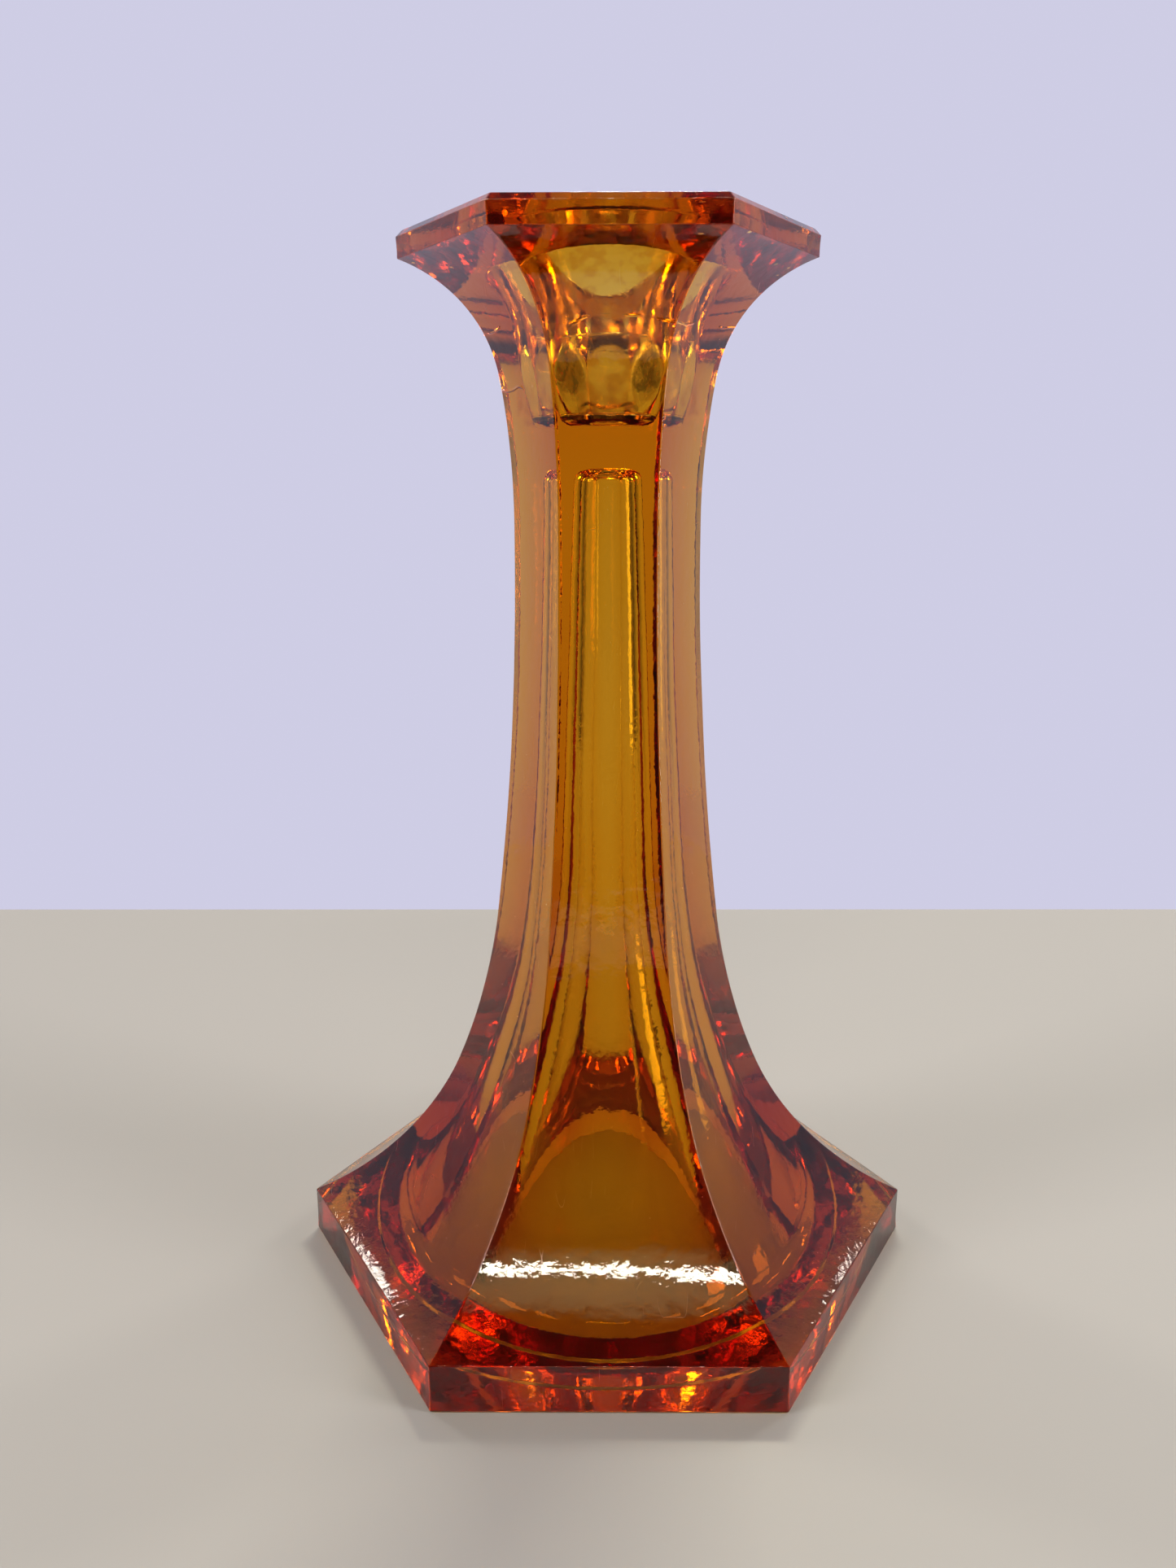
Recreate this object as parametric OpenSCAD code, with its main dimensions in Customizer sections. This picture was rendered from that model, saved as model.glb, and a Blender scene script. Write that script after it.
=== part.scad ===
// Hexagonal pressed-glass candlestick: one piece of glass, hollow from below, with a panelled socket.
// Origin: centre of the underside. +Z runs up the axis, and flat facets face +Y and -Y.

/* [Overall] */
// Height from the table to the top of the rim
height = 203; // [199:1:220]
// Number of sides of the foot, stem and rim
sides = 6; // [6:2:8]

/* [Foot] */
// Width of the foot across its flats
foot_flats = 110; // [104:1:118]
// Height of the upright edge of the foot
foot_edge = 9.6; // [7:0.2:12]

/* [Stem] */
// Width of the stem across its flats at the narrowest point
waist_flats = 31; // [30:0.5:34]
// Height of the narrowest point
waist_z = 152; // [148:1:156]
// Radius of the long curve from the waist down to the foot
lower_curve = 745; // [600:5:900]
// Lean of a facet where the long lower curve ends, in degrees
lower_lean = 6; // [5:0.5:7]
// Radius of the curve that turns the stem out into the foot
ankle_curve = 136; // [120:2:150]
// Lean of a facet where the ankle ends, in degrees
ankle_lean = 20; // [17:0.5:23]
// Radius of the long curve from the waist up to the neck
upper_curve = 165; // [150:5:200]
// Lean of a facet where the long upper curve ends, in degrees
upper_lean = 9; // [8:0.5:10]
// Radius of the neck under the flared rim
neck_curve = 30; // [25:1:35]
// Lean of a facet where the neck ends, in degrees
neck_lean = 20; // [17:0.5:23]

/* [Rim] */
// Width of the rim across its flats
rim_flats = 66.2; // [62:0.2:70]
// Height of the upright edge of the rim
rim_edge = 3.8; // [3:0.2:5]
// Bevel between the edge and the top of the rim
rim_bevel = 1.1; // [0.6:0.1:1.6]

/* [Socket] */
// Diameter of the round throat, which takes the foot of a 22 mm candle
throat_d = 22.6; // [22:0.1:23]
// Height of the straight wall of the throat
throat_h = 4.4; // [3.4:0.2:5]
// Depth of the socket below the top of the rim
socket_depth = 33.7; // [32:0.1:35]
// Diameter of the socket's mouth
mouth_d = 30.8; // [29:0.2:34]
// Height of the funnel between the throat and the mouth
funnel_h = 15.7; // [14:0.1:17]
// Number of flat panels in the lower wall of the socket
socket_panels = 9; // [7:1:10]
// Lean of a socket panel from upright, in degrees
panel_lean = 11; // [9.5:0.5:12.5]
// Height of the round bowl at the bottom of the socket, which blends the panels into the floor
bowl_h = 10; // [9:0.5:11]
// Diameter of the bowl at its top
bowl_d = 22.4; // [22:0.1:22.5]
// Lean of the bowl's wall at its top, in degrees
bowl_lean = 8; // [6:0.5:9]
// Diameter of the socket's floor, up to where its wall would meet it with a sharp corner
floor_d = 15.6; // [14:0.2:17]
// Rounding between the socket's wall and its floor
socket_round = 4; // [2.5:0.1:4.5]

/* [Hollow] */
// Height of the closed top of the hollow
hollow_top = 162; // [158:1:163]
// Radius of the hollow below its rounded top
hollow_r = 6.2; // [5.5:0.1:7]
// Rounding at the top of the hollow
hollow_round = 2.4; // [1.5:0.1:3]
// Lean of the hollow's wall in the stem, in degrees
hollow_lean = 2.15; // [1.8:0.05:2.4]
// Height at which the hollow starts to open out as a bell
bell_z = 88; // [84:1:94]
// Radius of the bell's upper curve
bell_curve = 150; // [130:5:170]
// Lean of the bell's wall where its upper curve ends, in degrees
bell_lean = 16; // [14:0.5:18]
// Lean of the bell's wall where its rounded lip begins, in degrees
lip_lean = 29; // [27:0.5:31]
// Rounding of the lip
lip_round = 5; // [4:0.2:6]
// Radius of the shallow recess around the hollow's mouth
recess_r = 45; // [44:0.5:47]
// Depth of the recess
recess_h = 0.5; // [0.3:0.1:0.8]
// Width of the recess's sloping edge
recess_edge = 0.4; // [0.2:0.1:0.8]

/* [Hidden] */
$fn = 256;
UP = 1;
DOWN = -1;
LAP = 1; // how far a cutting shape runs past the surface it cuts
CURVE_STEP = 4; // the most degrees, or mm, between two points of a facet's curves
rim_z = height - rim_bevel - rim_edge;
throat_top = height - funnel_h;
throat_z = throat_top - throat_h;
socket_z = height - socket_depth;

// A curve is [start, direction, radius, lean at its start, lean at its end]. A start is [distance from the
// axis, height], a direction is UP or DOWN, and the wall leans further out along the curve.
function curve_at(c, lean) = c[0] + c[2] * [cos(c[3]) - cos(lean), c[1] * (sin(lean) - sin(c[3]))];
function curve_end(c) = curve_at(c, c[4]);
function curve_centre(c) = c[0] + c[2] * [cos(c[3]), -c[1] * sin(c[3])];
function curve(start, direction, r, lean_0, lean_1) = [start, direction, r, lean_0, lean_1];
// The curve that leaves a start at a given lean and passes through an end point
function curve_to(start, direction, lean_0, end) =
    let (chord = end - start)
    let (r = chord * chord / 2 / (chord * [cos(lean_0), -direction * sin(lean_0)]))
    [start, direction, r, lean_0, 2 * atan(chord.x / abs(chord.y)) - lean_0];
function foot_curves(waist, end) =
    let (long = curve(waist, DOWN, lower_curve, 0, lower_lean))
    let (ankle = curve(curve_end(long), DOWN, ankle_curve, lower_lean, ankle_lean))
    [long, ankle, curve_to(curve_end(ankle), DOWN, ankle_lean, end)];
function rim_curves(waist, end) =
    let (long = curve(waist, UP, upper_curve, 0, upper_lean))
    let (neck = curve(curve_end(long), UP, neck_curve, upper_lean, neck_lean))
    [long, neck, curve_to(curve_end(neck), UP, neck_lean, end)];

// Points along a curve, from just after its start to its end, no more than CURVE_STEP degrees or mm apart
function curve_points(c) =
    let (turn = c[4] - c[3])
    let (steps = ceil(max(turn, c[2] * turn * PI / 180) / CURVE_STEP))
    [for (i = [1 : steps]) curve_at(c, c[3] + turn * i / steps)];

// The outline seen square to a facet, on one side of the axis, from the table to the top of the rim
function facet_outline() =
    let (waist = [waist_flats / 2, waist_z], rim = rim_flats / 2)
    let (foot = foot_curves(waist, [foot_flats / 2, foot_edge]))
    let (neck = rim_curves(waist, [rim, rim_z]))
    let (below = [for (c = foot) each curve_points(c)])
    [[foot_flats / 2, 0], for (i = [len(below) - 1 : -1 : 0]) below[i], waist,
     for (c = neck) each curve_points(c), [rim, rim_z + rim_edge], [rim - rim_bevel, height]];

// A bar as long as the foot is wide, with the outline on both of its sides
module facet_pair() {
    right = facet_outline();
    left = [for (i = [len(right) - 1 : -1 : 0]) [-right[i].x, right[i].y]];
    rotate([90, 0, 90]) linear_extrude(height = 2 * foot_flats, center = true) polygon(concat(right, left));
}

// The solid that is left where the bars of all the facets cross
module faceted_body() {
    intersection_for(i = [0 : sides / 2 - 1]) rotate(i * 360 / sides) facet_pair();
}

// The area between the axis and one curve. It runs on past the curve's end, to lap the next area.
module beside(c) {
    end = curve_end(c);
    difference() {
        translate([0, min(c[0].y, end.y + c[1] * LAP)]) square([end.x, abs(end.y - c[0].y) + LAP]);
        translate(curve_centre(c)) circle(r = c[2]);
    }
}

// A block with one panel of the socket as its near face. The panel meets the round throat at throat_z.
module behind_panel() {
    top = throat_d / 2 + throat_h * tan(panel_lean);
    bottom = throat_d / 2 - (throat_z - socket_z) * tan(panel_lean);
    rotate([90, 0, 90])
        linear_extrude(height = 2 * throat_d, center = true)
            polygon([[-bottom, socket_z], [throat_d, socket_z], [throat_d, throat_top], [-top, throat_top]]);
}

// The area that a curve leaning in towards the axis encloses, from a height to just past its start.
// The curve is given as its mirror image, on the other side of the axis.
module within(c, low_z) {
    intersection() {
        translate([-curve_centre(c).x, curve_centre(c).y]) circle(r = c[2]);
        translate([0, low_z]) square([-c[0].x, c[0].y - low_z + LAP]);
    }
}

// The lower part of the socket: round at the throat, panelled below it, with a bowl and a rounded floor
module socket_well() {
    r = throat_d / 2;
    bowl_z = socket_z + bowl_h;
    bowl = curve_to([-bowl_d / 2, bowl_z], DOWN, bowl_lean, [-floor_d / 2, socket_z]);
    hub = [-curve_centre(bowl).x, curve_centre(bowl).y];
    corner_z = socket_z + socket_round;
    corner = [hub.x + sqrt((bowl[2] - socket_round) ^ 2 - (corner_z - hub.y) ^ 2), corner_z];
    touch_z = corner.y + socket_round * (corner.y - hub.y) / norm(corner - hub);
    intersection() {
        intersection_for(i = [0 : socket_panels - 1]) rotate(i * 360 / socket_panels) behind_panel();
        rotate_extrude() {
            translate([0, socket_z]) square([corner.x, bowl_h + LAP]);
            intersection() {
                translate(corner) circle(r = socket_round);
                translate([0, socket_z]) square([r, bowl_h]);
            }
            within(bowl, touch_z);
            polygon([[0, bowl_z], [bowl_d / 2, bowl_z], [r, throat_z], [r, throat_top], [0, throat_top]]);
        }
    }
}

// The top of the straight throat and the funnel above it, open at the top of the rim
module socket_funnel() {
    wall = curve_to([throat_d / 2, throat_top], UP, 0, [mouth_d / 2, height]);
    rotate_extrude() {
        translate([0, throat_top - LAP]) square([throat_d / 2, LAP]);
        beside(wall);
    }
}

// The hollow inside the stem and foot, open at the table
module hollow() {
    shoulder_z = hollow_top - hollow_round;
    bell_r = hollow_r + (shoulder_z - bell_z) * tan(hollow_lean);
    upper = curve([bell_r, bell_z], DOWN, bell_curve, hollow_lean, bell_lean);
    lip_drop = recess_h + lip_round * (1 - sin(lip_lean));
    spread = (curve_end(upper).y - lip_drop) / (sin(lip_lean) - sin(bell_lean));
    lower = curve(curve_end(upper), DOWN, spread, bell_lean, lip_lean);
    rotate_extrude() {
        square([hollow_r - hollow_round, hollow_top]);
        intersection() {
            translate([hollow_r - hollow_round, shoulder_z]) circle(r = hollow_round);
            translate([0, shoulder_z - LAP]) square([hollow_r, hollow_round + LAP]);
        }
        polygon([[0, bell_z - LAP], [bell_r, bell_z - LAP], [bell_r, bell_z], [hollow_r, shoulder_z],
                 [0, shoulder_z]]);
        beside(upper);
        beside(lower);
        beside(curve(curve_end(lower), DOWN, lip_round, lip_lean, 90));
        polygon([[0, -LAP], [recess_r, -LAP], [recess_r, 0], [recess_r - recess_edge, recess_h],
                 [0, recess_h]]);
    }
}

module glass_body() {
    color("darkgoldenrod")
        difference() {
            faceted_body();
            hollow();
            socket_well();
            socket_funnel();
        }
}

glass_body();
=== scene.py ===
"""The looks of a hexagonal pressed-glass candlestick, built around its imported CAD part.

The glass is one closed skin, lofted through rings: up the panelled socket, across the top of the
rim, down the six outer facets, across the underside, and up the hollow inside the foot and stem.
Lengths are in millimetres until a mesh, light or camera is made. Blender's own objects are in
metres.
"""
from math import atan, ceil, cos, degrees, hypot, pi, radians, sin, tan

import bpy
import numpy as np
from mathutils import Matrix, Quaternion, Vector, noise


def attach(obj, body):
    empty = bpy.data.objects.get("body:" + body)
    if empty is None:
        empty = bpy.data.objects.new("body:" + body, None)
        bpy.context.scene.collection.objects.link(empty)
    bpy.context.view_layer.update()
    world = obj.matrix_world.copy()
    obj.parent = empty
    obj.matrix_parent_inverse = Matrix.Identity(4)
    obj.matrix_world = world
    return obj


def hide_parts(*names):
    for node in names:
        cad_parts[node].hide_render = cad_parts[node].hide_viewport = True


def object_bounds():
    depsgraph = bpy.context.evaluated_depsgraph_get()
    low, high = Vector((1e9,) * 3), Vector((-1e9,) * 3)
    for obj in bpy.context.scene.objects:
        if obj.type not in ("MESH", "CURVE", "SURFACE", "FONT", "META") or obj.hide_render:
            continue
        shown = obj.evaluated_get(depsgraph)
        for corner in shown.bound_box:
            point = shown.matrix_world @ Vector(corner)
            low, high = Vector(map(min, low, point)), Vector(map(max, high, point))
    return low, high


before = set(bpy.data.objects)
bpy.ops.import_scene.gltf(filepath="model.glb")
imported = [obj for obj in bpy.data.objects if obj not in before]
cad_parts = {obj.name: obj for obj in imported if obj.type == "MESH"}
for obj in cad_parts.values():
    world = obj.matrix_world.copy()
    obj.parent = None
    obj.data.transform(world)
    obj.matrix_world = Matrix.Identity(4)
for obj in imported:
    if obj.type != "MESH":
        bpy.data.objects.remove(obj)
cad_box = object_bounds()

MM = 0.001
high = cad_box[1] / MM

# ---- sizes of the glass, as in the CAD part ----
HEIGHT = high.z
SIDES = 6
FOOT_HALF = high.y
FOOT_EDGE = 9.6
WAIST_HALF, WAIST_Z = 15.5, 152
LOWER_CURVE, LOWER_LEAN = 745, 6
ANKLE_CURVE, ANKLE_LEAN = 136, 20
UPPER_CURVE, UPPER_LEAN = 165, 9
NECK_CURVE, NECK_LEAN = 30, 20
RIM_HALF = 33.1
RIM_EDGE = 3.8
RIM_BEVEL = 1.1
THROAT_R, THROAT_H = 11.3, 4.4
SOCKET_DEPTH = 33.7
MOUTH_R = 15.4
FUNNEL_H = 15.7
SOCKET_PANELS = 9
PANEL_LEAN = 11
PANEL_TURN = 0.25  # in panels, so that the middle of one faces the camera
BOWL_TOP, BOWL_R, BOWL_LEAN = 179.3, 11.2, 8
FLOOR_R = 7.8
SOCKET_ROUND = 4
HOLLOW_TOP = 162
HOLLOW_R, HOLLOW_ROUND, HOLLOW_LEAN = 6.2, 2.4, 2.15
BELL_Z, BELL_CURVE, BELL_LEAN = 88, 150, 16
LIP_LEAN, LIP_ROUND = 29, 5
RECESS_R, RECESS_EDGE, RECESS_H = 45, 0.4, 0.5
THROAT_TOP = HEIGHT - FUNNEL_H
THROAT_Z = THROAT_TOP - THROAT_H
FLOOR_Z = HEIGHT - SOCKET_DEPTH

# ---- how finely the skin is made ----
AROUND = 252  # points in a ring, a whole number for each side and each panel
RING_GAP = 1.42  # the most between two rings
RIDGE_ROUND = 0.6  # rounding of the six ridges
RIDGE_STEPS = 8
CORNER_STEPS = 5  # in the rounding of an edge that runs round the glass
HOLD = 0.2  # distance from a rounded edge to the ring or column that keeps the flat beside it flat
POLE_R = 0.5  # radius of the ring round the middle of the socket's floor and of the hollow's top

# ---- roundings of the edges that the CAD part has sharp ----
MOUTH_ROUND = 0.7
BEVEL_TOP_ROUND, BEVEL_FOOT_ROUND = 0.25, 0.35
FOOT_TOP_ROUND, FOOT_LOW_ROUND = 0.4, 0.45
RECESS_ROUND = 0.1
CREASE, SOFT_CREASE = 0.06, 0.5  # blend of panel and round wall, high up and at the socket's floor
CREASE_TOP, CREASE_SPAN = 178, 8  # the blend softens down from this height, over this distance

# ---- the unevenness pressing leaves, as (size of a wave, depth) ----
SOCKET_WAVES = ((5, 0.08), (2.2, 0.05))
BODY_WAVES = ((27, 0.3), (15, 0.1), (7, 0.02))
HOLLOW_WAVES = ((14, 0.06), (5, 0.03))

UP, DOWN = 1, -1


def curve_at(c, lean):
    """The point of a curve where its wall has this lean. A curve is (start, direction, radius, lean
    at its start, lean at its end), and the wall leans further out along it."""
    (r, z), direction, radius, lean_0, _ = c
    return (
        r + radius * (cos(radians(lean_0)) - cos(radians(lean))),
        z + direction * radius * (sin(radians(lean)) - sin(radians(lean_0))),
    )


def curve_to(start, direction, lean_0, end):
    """The curve that leaves start at a given lean and passes through end."""
    across, along = end[0] - start[0], abs(end[1] - start[1])
    out, up = cos(radians(lean_0)), sin(radians(lean_0))
    radius = (across**2 + along**2) / 2 / (across * out - along * up)
    return start, direction, radius, lean_0, 2 * degrees(atan(across / along)) - lean_0


def curve_points(c, gap=RING_GAP):
    """Points along a curve, from just after its start to its end."""
    turn = c[4] - c[3]
    steps = ceil(c[2] * radians(turn) / gap)
    return [curve_at(c, c[3] + turn * i / steps) for i in range(1, steps + 1)]


def curve_end(c):
    return curve_at(c, c[4])


def rounded(points, edges):
    """The path through points, with the corners listed in edges as {index: radius} rounded."""
    path = []
    for i, (r, z) in enumerate(points):
        if i not in edges:
            path.append((r, z))
            continue
        here = Vector((r, z))
        back = (Vector(points[i - 1]) - here).normalized()
        on = (Vector(points[i + 1]) - here).normalized()
        half = back.angle(on) / 2
        middle = (back + on).normalized()  # from the corner towards the rounding's centre
        reach = edges[i] / tan(half)
        centre = here + middle * edges[i] / sin(half)
        path.append(tuple(here + back * (reach + HOLD)))
        for k in range(CORNER_STEPS + 1):
            turn = (pi / 2 - half) * (2 * k / CORNER_STEPS - 1)
            way = (back - on).normalized() * sin(-turn) - middle * cos(turn)
            path.append(tuple(centre + way * edges[i]))
        path.append(tuple(here + on * (reach + HOLD)))
    return path


def filled(path):
    """The path with points added wherever two are more than a ring's gap apart."""
    nearly = 0.01  # a gap this much of a step too long isn't split
    out = [path[0]]
    for (r0, z0), (r1, z1) in zip(path, path[1:]):
        steps = max(ceil(hypot(r1 - r0, z1 - z0) / RING_GAP - nearly), 1)
        shares = [k / steps for k in range(1, steps + 1)]
        out += [(r0 + (r1 - r0) * share, z0 + (z1 - z0) * share) for share in shares]
    return out


# ---- the three stretches of the skin, each a path of (distance from the axis, height) ----
def socket_path():
    """From the middle of the socket's floor up to the edge of its mouth."""
    land = 3  # width of the rim's flat top that the path runs out along, to shape the mouth's edge
    funnel = curve_points(curve_to((THROAT_R, THROAT_TOP), UP, 0, (MOUTH_R, HEIGHT)))
    bowl = curve_points(curve_to((-BOWL_R, BOWL_TOP), DOWN, BOWL_LEAN, (-FLOOR_R, FLOOR_Z)))[::-1]
    path = [(POLE_R, FLOOR_Z)] + [(-r, z) for r, z in bowl] + [(BOWL_R, BOWL_TOP)]
    path += [(THROAT_R, THROAT_Z), (THROAT_R, THROAT_TOP)]
    path += funnel + [(MOUTH_R + land, HEIGHT)]
    return filled(rounded(path, {1: SOCKET_ROUND, len(path) - 2: MOUTH_ROUND}))[:-2]


def panel_at(z):
    """Distance from the axis to a flat panel of the socket, at a height."""
    return THROAT_R - (THROAT_Z - z) * tan(radians(PANEL_LEAN))


def body_path():
    """From the flat top of the rim down the middle of a facet to the flat underside."""
    rim_z = HEIGHT - RIM_BEVEL - RIM_EDGE
    waist = (WAIST_HALF, WAIST_Z)
    upper = (waist, UP, UPPER_CURVE, 0, UPPER_LEAN)
    neck = (curve_end(upper), UP, NECK_CURVE, UPPER_LEAN, NECK_LEAN)
    flare = curve_to(curve_end(neck), UP, NECK_LEAN, (RIM_HALF, rim_z))
    lower = (waist, DOWN, LOWER_CURVE, 0, LOWER_LEAN)
    ankle = (curve_end(lower), DOWN, ANKLE_CURVE, LOWER_LEAN, ANKLE_LEAN)
    spread = curve_to(curve_end(ankle), DOWN, ANKLE_LEAN, (FOOT_HALF, FOOT_EDGE))
    land = 2  # width of the flat top and underside that the path takes in
    bevel_r = RIM_HALF - RIM_BEVEL
    top = [(bevel_r - land, HEIGHT), (bevel_r, HEIGHT), (RIM_HALF, HEIGHT - RIM_BEVEL)]
    above = [p for c in (upper, neck, flare) for p in curve_points(c)][::-1]
    below = [p for c in (lower, ankle, spread) for p in curve_points(c)]
    path = top + above + [waist] + below + [(FOOT_HALF, 0), (FOOT_HALF - land, 0)]
    edges = {
        1: BEVEL_TOP_ROUND, 2: BEVEL_FOOT_ROUND, len(top): BEVEL_FOOT_ROUND,
        len(path) - 3: FOOT_TOP_ROUND, len(path) - 2: FOOT_LOW_ROUND,
    }
    return filled(rounded(path, edges))


def hollow_path():
    """From the edge of the hollow's mouth on the table up to the middle of its closed top."""
    shoulder_z = HOLLOW_TOP - HOLLOW_ROUND
    bell_r = HOLLOW_R + (shoulder_z - BELL_Z) * tan(radians(HOLLOW_LEAN))
    upper = ((bell_r, BELL_Z), DOWN, BELL_CURVE, HOLLOW_LEAN, BELL_LEAN)
    lip_z = RECESS_H + LIP_ROUND * (1 - sin(radians(LIP_LEAN)))
    spread = (curve_end(upper)[1] - lip_z) / (sin(radians(LIP_LEAN)) - sin(radians(BELL_LEAN)))
    lower = (curve_end(upper), DOWN, spread, BELL_LEAN, LIP_LEAN)
    lip = (curve_end(lower), DOWN, LIP_ROUND, LIP_LEAN, 90)
    bell = [p for c in (upper, lower) for p in curve_points(c)]
    lip_gap, shoulder_points = 0.8, 8
    bell = (bell + curve_points(lip, lip_gap))[::-1]
    shoulder = [
        (HOLLOW_R - HOLLOW_ROUND * (1 - cos(turn)), shoulder_z + HOLLOW_ROUND * sin(turn))
        for turn in np.linspace(0, pi / 2, shoulder_points)
    ]
    land = 3  # width of the standing ring that the path starts along, to shape the recess's edge
    path = [(RECESS_R + land, 0), (RECESS_R, 0), (RECESS_R - RECESS_EDGE, RECESS_H)] + bell
    path += [(bell_r, BELL_Z)] + shoulder
    path += [(POLE_R, HOLLOW_TOP)]
    return filled(rounded(path, {1: RECESS_ROUND, 2: RECESS_ROUND}))[2:]


# ---- rings: AROUND points at each step of a path ----
EVEN = np.arange(AROUND) * 2 * pi / AROUND


def round_ring(r, z):
    return np.stack([r * np.cos(EVEN), r * np.sin(EVEN), np.full(AROUND, z)], 1)


def socket_ring(r, z):
    """A ring of the socket: round, cut back by the flat panels where they are nearer the axis."""
    panel = 2 * pi / SOCKET_PANELS
    clear = 2  # a panel this much further out than the ring leaves it alone
    off = (EVEN + PANEL_TURN * panel + panel / 2) % panel - panel / 2
    flat = panel_at(z) / np.cos(off)
    if z > THROAT_Z:
        flat = flat + r
    soft = CREASE + SOFT_CREASE * min(max((CREASE_TOP - z) / CREASE_SPAN, 0), 1) ** 2
    nearer = (r + flat - np.sqrt((r - flat) ** 2 + soft**2)) / 2
    nearer = np.where(flat - r > clear, r, nearer)
    return np.stack([nearer * np.cos(EVEN), nearer * np.sin(EVEN), np.full(AROUND, z)], 1)


def hexagon_ring(half, z):
    """A ring of the outside: straight sides at half from the axis, and rounded ridges."""
    side = 2 * pi / SIDES
    corner = (half - RIDGE_ROUND) / cos(side / 2)
    straight = (half - RIDGE_ROUND) * tan(side / 2)
    flat_steps = AROUND // SIDES - RIDGE_STEPS
    places = np.linspace(-straight, straight, flat_steps - 1)[1:-1]
    places = np.concatenate([[-straight + HOLD], places, [straight - HOLD]])
    points = []
    for k in range(SIDES):
        ridge = k * side
        for turn in np.linspace(-side / 2, side / 2, RIDGE_STEPS + 1):
            points.append((
                corner * cos(ridge) + RIDGE_ROUND * cos(ridge + turn),
                corner * sin(ridge) + RIDGE_ROUND * sin(ridge + turn), z,
            ))
        face = ridge + side / 2
        for s in places:
            points.append((half * cos(face) - s * sin(face), half * sin(face) + s * cos(face), z))
    return np.roll(np.array(points), -(RIDGE_STEPS // 2), axis=0)


def inward(rings):
    """Directions into the glass at the points of stacked rings, from their neighbours. It works for
    all three stretches, because each path has the glass on the same hand."""
    along = np.gradient(rings, axis=0)
    across = np.roll(rings, -1, axis=1) - np.roll(rings, 1, axis=1)
    normals = np.cross(across, along)
    tiny = 1e-9
    return normals / np.maximum(np.linalg.norm(normals, axis=2, keepdims=True), tiny)


def ripple(p, size, seed):
    """Smooth noise between about -1 and 1, with waves of about this size."""
    return noise.noise(Vector(p) / size + Vector((seed, -seed, 2 * seed)))


def uneven(rings, waves, bottom, above, top, below):
    """Stacked rings pressed into the glass here and there by waves, each (size, depth). The waves
    die out at the heights bottom and top, over a distance above the one and below the other."""
    seed_step = 7.3
    depth = np.zeros(rings.shape[:2])
    for seed, (size, deep) in enumerate(waves, 1):
        waved = [[ripple(p, size, seed_step * seed) for p in ring] for ring in rings]
        depth += deep * (1 + np.clip(waved, -1, 1)) / 2
    z = rings[:, :, 2]
    share = np.clip((z - bottom) / above, 0, 1) * np.clip((top - z) / below, 0, 1)
    return rings + inward(rings) * (depth * share)[:, :, None]


def make_piece(name, points, faces):
    """A mesh object from points in millimetres."""
    mesh = bpy.data.meshes.new(name)
    mesh.from_pydata([tuple(p * MM) for p in points], [], faces)
    mesh.shade_smooth()
    piece = bpy.data.objects.new(name, mesh)
    bpy.context.scene.collection.objects.link(piece)
    return piece


def glass_skin():
    """The whole candlestick as one closed mesh."""
    socket = np.array([socket_ring(r, z) for r, z in socket_path()])
    body = np.array([hexagon_ring(half, z) for half, z in body_path()])
    hollow = np.array([round_ring(r, z) for r, z in hollow_path()])
    grid = np.concatenate([
        uneven(socket, SOCKET_WAVES, 171, 4, HEIGHT, 3),
        uneven(body, BODY_WAVES, 0, 3, HEIGHT, 3),
        uneven(hollow, HOLLOW_WAVES, 0, 3, HOLLOW_TOP, 8),
    ])
    count = len(grid)
    points = list(grid.reshape(-1, 3))
    points += [np.array((0, 0, FLOOR_Z)), np.array((0, 0, HOLLOW_TOP))]
    floor, roof = len(points) - 2, len(points) - 1
    faces = []
    for i in range(AROUND):
        j = (i + 1) % AROUND
        faces.append((floor, i, j))
        for k in range(count - 1):
            a, b = k * AROUND, (k + 1) * AROUND
            faces.append((a + i, b + i, b + j, a + j))
        end = (count - 1) * AROUND
        faces.append((end + j, end + i, roof))
    return make_piece("glass_candlestick", points, faces)


# ---- material ----
GLASS_IOR = 1.52
AMBER, AMBER_DENSITY = (0.955, 0.82, 0.2), 270  # what the glass lets through, and how it absorbs
CLEAR_TINT, DEEP_TINT = (0.96, 0.87, 0.6), (0.94, 0.81, 0.52)  # of the skin, in slow streaks
SOCKET_SHADE_TINT = (0.68, 0.43, 0.2)  # painted shade: the dark brown laid over the socket's wall in mottles, on top of a thin film
CHILL_HIGH, CHILL_LOW = 0.1857, 0.1762  # heights of the cold-mould lines, in metres
CHILL_WANDER, CHILL_HALF, CHILL_DEEP = 0.006, 0.0003, 0.00012
GRAIN, GRAIN_DEEP = 1600, 0.00001  # waves in a metre, and metres
PEEL, PEEL_DEEP = 420, 0.00004
FINE_POLISH = 0.004  # the least roughness
SPECK_SHARE = 0.125  # of the cells that could hold a speck


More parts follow.
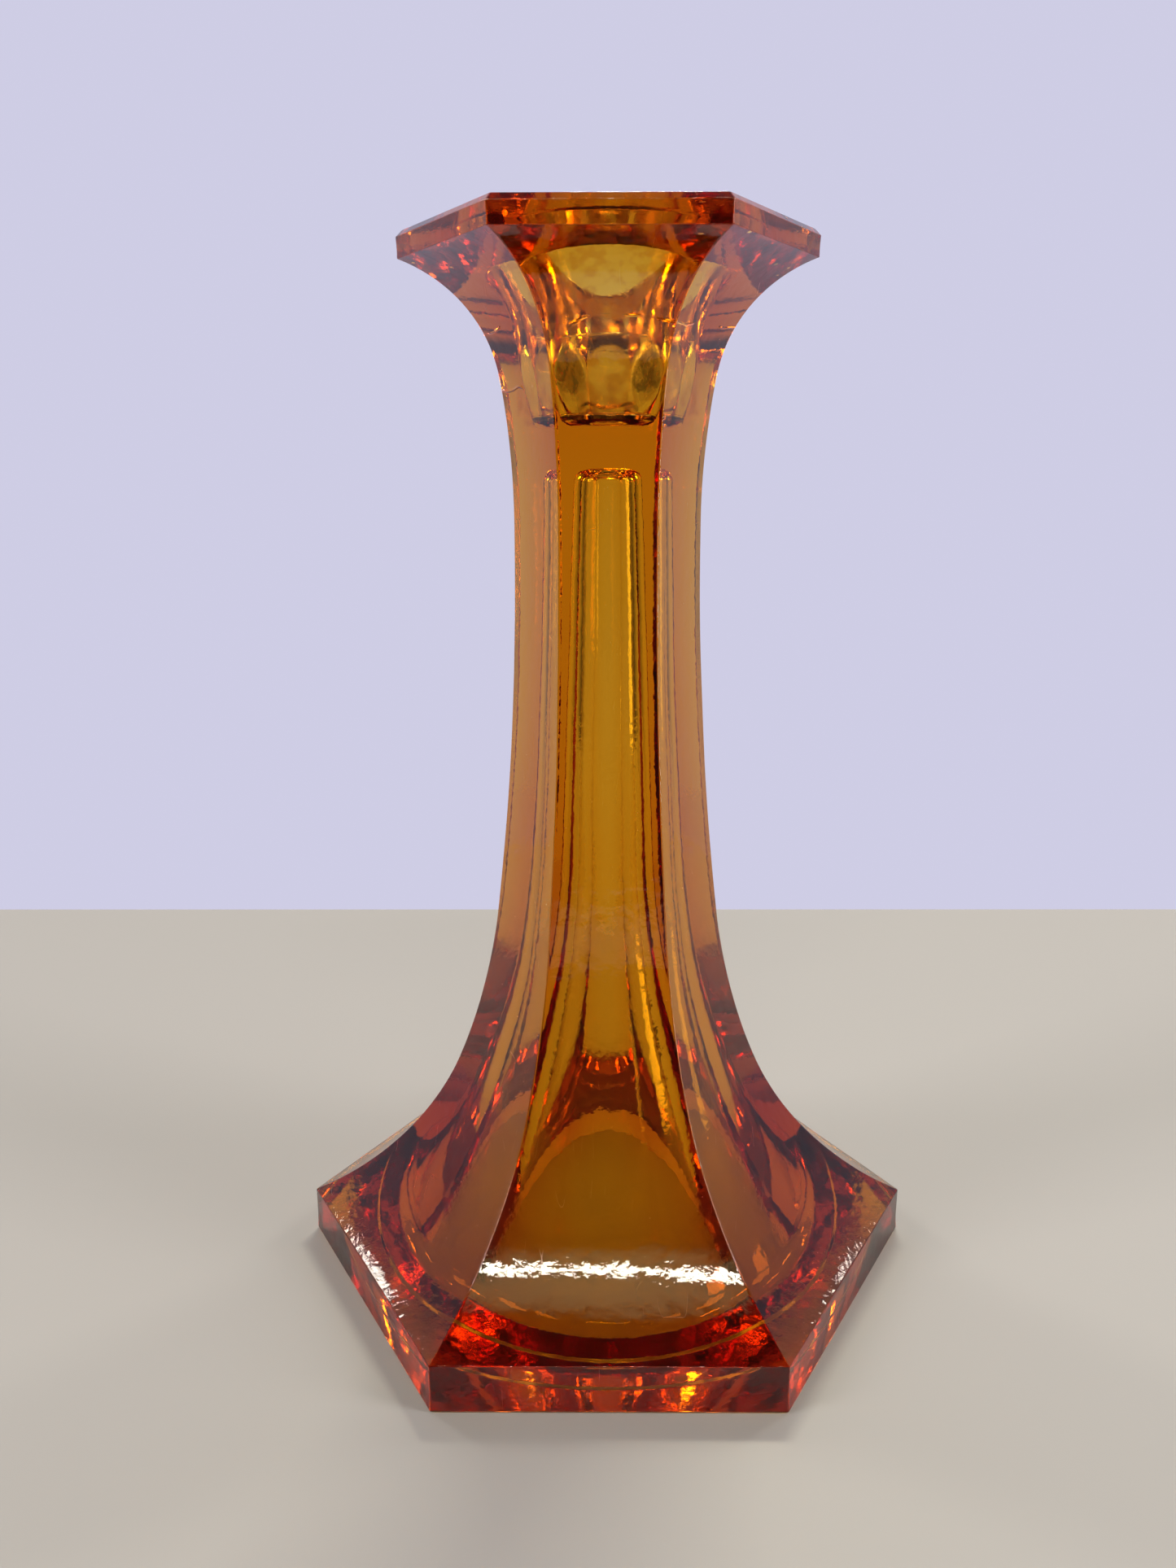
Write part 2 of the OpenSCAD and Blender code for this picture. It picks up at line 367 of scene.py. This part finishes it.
class Sheet:
    """A material's nodes, with short calls for the few kinds used here."""

    def __init__(self, material):
        material.use_nodes = True
        self.nodes, self.links = material.node_tree.nodes, material.node_tree.links
        self.shader = self.nodes["Principled BSDF"]
        self.place = self.nodes.new("ShaderNodeTexCoord").outputs["Object"]

    def put(self, socket, value):
        if isinstance(value, bpy.types.NodeSocket):
            self.links.new(value, socket)
        else:
            socket.default_value = value

    def noise(self, scale, detail=2, stretch=(1, 1, 1)):
        """Noise between 0 and 1. Scale is in waves per metre."""
        spot = self.nodes.new("ShaderNodeMapping")
        spot.inputs["Scale"].default_value = stretch
        self.links.new(self.place, spot.inputs["Vector"])
        grain = self.nodes.new("ShaderNodeTexNoise")
        grain.inputs["Scale"].default_value = scale
        grain.inputs["Detail"].default_value = detail
        self.links.new(spot.outputs["Vector"], grain.inputs["Vector"])
        return grain.outputs["Fac"]

    def specks(self, scale, size):
        """Small round specks in a few of the cells: 1 at a speck's middle, 0 beyond its size."""
        cells = self.nodes.new("ShaderNodeTexVoronoi")
        cells.inputs["Scale"].default_value = scale
        self.links.new(self.place, cells.inputs["Vector"])
        pick = self.nodes.new("ShaderNodeSeparateXYZ")
        self.links.new(cells.outputs["Color"], pick.inputs[0])
        kept = self.math("GREATER_THAN", pick.outputs["X"], 1 - SPECK_SHARE)
        return self.math("MULTIPLY", kept, self.ramp(cells.outputs["Distance"], 0, size, 1, 0))

    def ramp(self, value, low, high, start=0, end=1):
        fade = self.nodes.new("ShaderNodeMapRange")
        fade.interpolation_type = "SMOOTHSTEP"
        names = ("Value", "From Min", "From Max", "To Min", "To Max")
        for name, number in zip(names, (value, low, high, start, end)):
            self.put(fade.inputs[name], number)
        return fade.outputs["Result"]

    def math(self, operation, a, b=0.0):
        step = self.nodes.new("ShaderNodeMath")
        step.operation = operation
        self.put(step.inputs[0], a)
        self.put(step.inputs[1], b)
        return step.outputs[0]

    def product(self, a, b):
        return self.math("MULTIPLY", a, b)

    def most(self, a, b):
        return self.math("MAXIMUM", a, b)

    def mix(self, factor, a, b):
        """Colour a where factor is 0 and colour b where it is 1."""
        node = self.nodes.new("ShaderNodeMix")
        node.data_type = "RGBA"
        self.put(node.inputs["Factor"], factor)
        for name, colour in (("A", a), ("B", b)):
            self.put(node.inputs[name], (*colour, 1) if isinstance(colour, tuple) else colour)
        return node.outputs["Result"]

    def from_axis(self):
        """Distance from the candlestick's axis."""
        across = self.nodes.new("ShaderNodeVectorMath")
        across.operation = "MULTIPLY"
        across.inputs[1].default_value = (1, 1, 0)
        self.links.new(self.place, across.inputs[0])
        reach = self.nodes.new("ShaderNodeVectorMath")
        reach.operation = "LENGTH"
        self.links.new(across.outputs[0], reach.inputs[0])
        return reach.outputs["Value"]

    def bump(self, height, metres, under=None):
        node = self.nodes.new("ShaderNodeBump")
        self.put(node.inputs["Distance"], metres)
        self.put(node.inputs["Height"], height)
        if under is not None:
            self.links.new(under, node.inputs["Normal"])
        return node.outputs["Normal"]


def chill_lines(sheet, x, z):
    """Thin lines round the neck, left by a cold mould: 1 on a line. The low one is on the left."""
    left = sheet.ramp(x, -0.01, -0.012)
    lines = None
    for level, pitch, where in ((CHILL_HIGH, 1.0, 1), (CHILL_LOW, 1.7, left)):
        wander = sheet.product(sheet.noise(70 * pitch, 1), CHILL_WANDER)
        off = sheet.math("SUBTRACT", sheet.math("SUBTRACT", z, wander), level - CHILL_WANDER / 2)
        line = sheet.ramp(sheet.math("ABSOLUTE", off), 0, CHILL_HALF, 1, 0)
        line = sheet.product(line, sheet.ramp(sheet.noise(150 * pitch, 1), 0.48, 0.56))
        line = sheet.product(line, where)
        lines = line if lines is None else sheet.most(lines, line)
    return lines


def socket_film_and_shade(sheet, z):
    """A thin mottled film on the socket's wall, which also marks where the socket is darkened with
    painted shade: 1 where it is thickest.
    """
    inside = sheet.product(
        sheet.ramp(sheet.from_axis(), 0.0168, 0.0175, 1, 0),
        sheet.ramp(z, 0.1705, 0.1715),
    )
    return sheet.product(inside, sheet.ramp(sheet.noise(300, 4), 0.44, 0.6, 0.25, 1))


def wear(sheet, z, film_and_shade):
    """Roughness from rubbing, dust, hair scratches, nicks near the rim's top, and the film."""
    rubbed = sheet.ramp(sheet.noise(55, 4), 0.5, 0.7, 0, 0.05)
    dust = sheet.product(sheet.specks(900, 0.2), sheet.ramp(sheet.noise(70, 2), 0.45, 0.6, 0, 0.4))
    hairs = sheet.math("ABSOLUTE", sheet.math("SUBTRACT", sheet.noise(60, 0, (5, 1, 1)), 0.5))
    hairs = sheet.product(
        sheet.ramp(hairs, 0, 0.003, 0.35, 0),
        sheet.ramp(sheet.noise(120, 1), 0.6, 0.68),
    )
    nicks = sheet.product(sheet.specks(330, 0.3), sheet.ramp(z, 0.1975, 0.2, 0, 0.7))
    rough = sheet.most(sheet.most(rubbed, dust), sheet.most(hairs, nicks))
    rough = sheet.most(rough, sheet.product(film_and_shade, 0.25))
    return sheet.most(rough, FINE_POLISH)


def amber_glass():
    """Clear amber glass. What it absorbs tints it by depth, and its skin has grain, orange peel,
    chill lines, wear, and a film in the socket with painted shade on it. Scales are in waves per
    metre, heights in metres."""
    mat = bpy.data.materials.new("amber_glass")
    sheet = Sheet(mat)
    shader = sheet.shader
    shader.inputs["Transmission Weight"].default_value = 1
    shader.inputs["IOR"].default_value = GLASS_IOR
    spot = sheet.nodes.new("ShaderNodeSeparateXYZ")
    sheet.links.new(sheet.place, spot.inputs[0])
    x, z = spot.outputs["X"], spot.outputs["Z"]

    film_and_shade = socket_film_and_shade(sheet, z)
    sheet.links.new(wear(sheet, z, film_and_shade), shader.inputs["Roughness"])

    skin = sheet.bump(sheet.noise(GRAIN, 2), GRAIN_DEEP)
    skin = sheet.bump(sheet.noise(PEEL, 1), PEEL_DEEP, skin)
    skin = sheet.bump(chill_lines(sheet, x, z), CHILL_DEEP, skin)
    sheet.links.new(skin, shader.inputs["Normal"])

    streaks = sheet.ramp(sheet.noise(45, 3, (1, 1, 0.25)), 0.4, 0.75)
    tint = sheet.mix(streaks, CLEAR_TINT, DEEP_TINT)
    # painted shade: the socket's wall is coloured darker brown in mottles, where the film mask is
    # high
    sheet.links.new(sheet.mix(film_and_shade, tint, SOCKET_SHADE_TINT), shader.inputs["Base Color"])

    amber = sheet.nodes.new("ShaderNodeVolumeAbsorption")
    amber.inputs["Color"].default_value = (*AMBER, 1)
    amber.inputs["Density"].default_value = AMBER_DENSITY
    sheet.links.new(amber.outputs[0], sheet.nodes["Material Output"].inputs["Volume"])
    return mat


def plain(name, colour, roughness):
    mat = bpy.data.materials.new(name)
    mat.use_nodes = True
    shader = mat.node_tree.nodes["Principled BSDF"]
    shader.inputs["Base Color"].default_value = (*colour, 1)
    shader.inputs["Roughness"].default_value = roughness
    return mat


# ---- camera ----
CAMERA_BACK, CAMERA_UP = 239.0, 162.9
PITCH, PAN, ROLL = -0.2546, -0.0161, -0.0026
TURN = -0.0091  # the candlestick stands turned this much, so the camera goes round it instead
SENSOR = 36
LENS = 28.44
CLIP_START = 0.01


def camera():
    heading = PAN - TURN
    forward = Vector((sin(heading) * cos(PITCH), cos(heading) * cos(PITCH), sin(PITCH)))
    right = forward.cross(Vector((0, 0, 1))).normalized()
    up = right.cross(forward)
    right, up = right * cos(ROLL) + up * sin(ROLL), up * cos(ROLL) - right * sin(ROLL)
    data = bpy.data.cameras.new("camera")
    data.sensor_width, data.lens, data.clip_start = SENSOR, LENS, CLIP_START
    cam = bpy.data.objects.new("camera", data)
    at = Vector((-CAMERA_BACK * sin(-TURN), -CAMERA_BACK * cos(TURN), CAMERA_UP)) * MM
    cam.matrix_world = Matrix.Translation(at) @ Matrix((right, up, -forward)).transposed().to_4x4()
    bpy.context.scene.collection.objects.link(cam)
    bpy.context.scene.camera = cam


# ---- lights, floor and surround ----
WHITE, WARM, LIME = (1, 1, 1), (1, 1, 0.9), (1, 1, 0.8)
AIM_Z = 0.08
WALLS_FRONT, WALLS_BACK = (0.05, 0.04, 0.035), (0.62, 0.61, 0.78)
WALLS_FROM, WALLS_TO = -0.1, 0.8  # cosines to straight back between which the walls brighten
HAZE = (1.0, 1.4, 0.75)
HAZE_UP, HAZE_WIDE = 59, 11  # elevation and half-width of the glow behind the camera, in degrees
FLOOR_COLOUR, FLOOR_ROUGH = (0.36, 0.33, 0.31), 0.6
FLOOR_SIDE, FLOOR_FRONT, FLOOR_BACK = 0.6, -0.5, 0.2
FLOOR_DROP = 0.0001  # keeps the floor just clear of the glass
LIGHT_BOUNCES, GLOSS_BOUNCES = 32, 16


def softbox(name, azimuth, elevation, distance, size, power, colour=WHITE, tilt=0):
    """An area light that faces the candlestick. Azimuth 0 is in front of it, 90 is on its right."""
    aim = Vector((0, 0, AIM_Z))
    a, e = radians(azimuth), radians(elevation)
    way = Vector((sin(a) * cos(e), -cos(a) * cos(e), sin(e)))
    data = bpy.data.lights.new(name, "AREA")
    data.shape, data.size, data.size_y = "RECTANGLE", *size
    data.energy, data.color = power, colour
    light = bpy.data.objects.new(name, data)
    light.location = aim + way * distance
    roll = Quaternion((0, 0, 1), radians(tilt))
    light.rotation_euler = ((-way).to_track_quat("-Z", "Y") @ roll).to_euler()
    bpy.context.scene.collection.objects.link(light)


def room():
    """A soft surround, brightest behind the candlestick and darkest behind the camera, where a
    faint glow high up gives the foot's front its haze."""
    world = bpy.data.worlds.new("room")
    world.use_nodes = True
    bpy.context.scene.world = world
    nodes, links = world.node_tree.nodes, world.node_tree.links
    place = nodes.new("ShaderNodeTexCoord").outputs["Generated"]

    def toward(way, start, end):
        """How far the direction looked in is toward a way: 0 at start and 1 at end, as cosines."""
        dot = nodes.new("ShaderNodeVectorMath")
        dot.operation = "DOT_PRODUCT"
        dot.inputs[1].default_value = way
        links.new(place, dot.inputs[0])
        fade = nodes.new("ShaderNodeMapRange")
        fade.interpolation_type = "SMOOTHSTEP"
        fade.inputs["From Min"].default_value = start
        fade.inputs["From Max"].default_value = end
        links.new(dot.outputs["Value"], fade.inputs["Value"])
        return fade.outputs["Result"]

    def blend(factor, a, b):
        mix = nodes.new("ShaderNodeMix")
        mix.data_type = "RGBA"
        links.new(factor, mix.inputs["Factor"])
        for name, colour in (("A", a), ("B", b)):
            if isinstance(colour, tuple):
                mix.inputs[name].default_value = (*colour, 1)
            else:
                links.new(colour, mix.inputs[name])
        return mix.outputs["Result"]

    walls = blend(toward((0, 1, 0), WALLS_FROM, WALLS_TO), WALLS_FRONT, WALLS_BACK)
    way = Vector((0, -cos(radians(HAZE_UP)), sin(radians(HAZE_UP))))
    haze = toward(way, cos(radians(HAZE_WIDE)), cos(radians(HAZE_WIDE / 3)))
    links.new(blend(haze, walls, HAZE), nodes["Background"].inputs["Color"])


def floor():
    mesh = bpy.data.meshes.new("floor")
    near = [(-FLOOR_SIDE, FLOOR_FRONT, -FLOOR_DROP), (FLOOR_SIDE, FLOOR_FRONT, -FLOOR_DROP)]
    far = [(FLOOR_SIDE, FLOOR_BACK, -FLOOR_DROP), (-FLOOR_SIDE, FLOOR_BACK, -FLOOR_DROP)]
    mesh.from_pydata(near + far, [], [(0, 1, 2, 3)])
    piece = bpy.data.objects.new("floor", mesh)
    bpy.context.scene.collection.objects.link(piece)
    mesh.materials.append(plain("floor", FLOOR_COLOUR, FLOOR_ROUGH))


def show():
    """Plain colours, and enough bounces for light to get through the glass."""
    scene = bpy.context.scene
    scene.view_settings.view_transform = "Standard"
    scene.cycles.max_bounces = LIGHT_BOUNCES
    scene.cycles.transmission_bounces = LIGHT_BOUNCES
    scene.cycles.glossy_bounces = GLOSS_BOUNCES


camera()
room()
floor()
softbox("lamp_strip", 2, 52, 1.0, (0.5, 0.036), 2.2, (1, 1, 0.85), 4)
softbox("window", 72, 18, 1.2, (0.35, 1.3), 13)
softbox("left_window", -68, 36, 1.2, (0.3, 0.7), 6)
softbox("back_lamp", 168, 55, 1.0, (0.3, 0.08), 5, LIME)
softbox("back_right", 125, 35, 1.0, (0.12, 0.3), 2, WARM)
softbox("back_left", -125, 35, 1.0, (0.12, 0.3), 2, WARM)
show()

glass = glass_skin()
glass.data.materials.append(amber_glass())
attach(glass, "root")
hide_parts("glass_body")
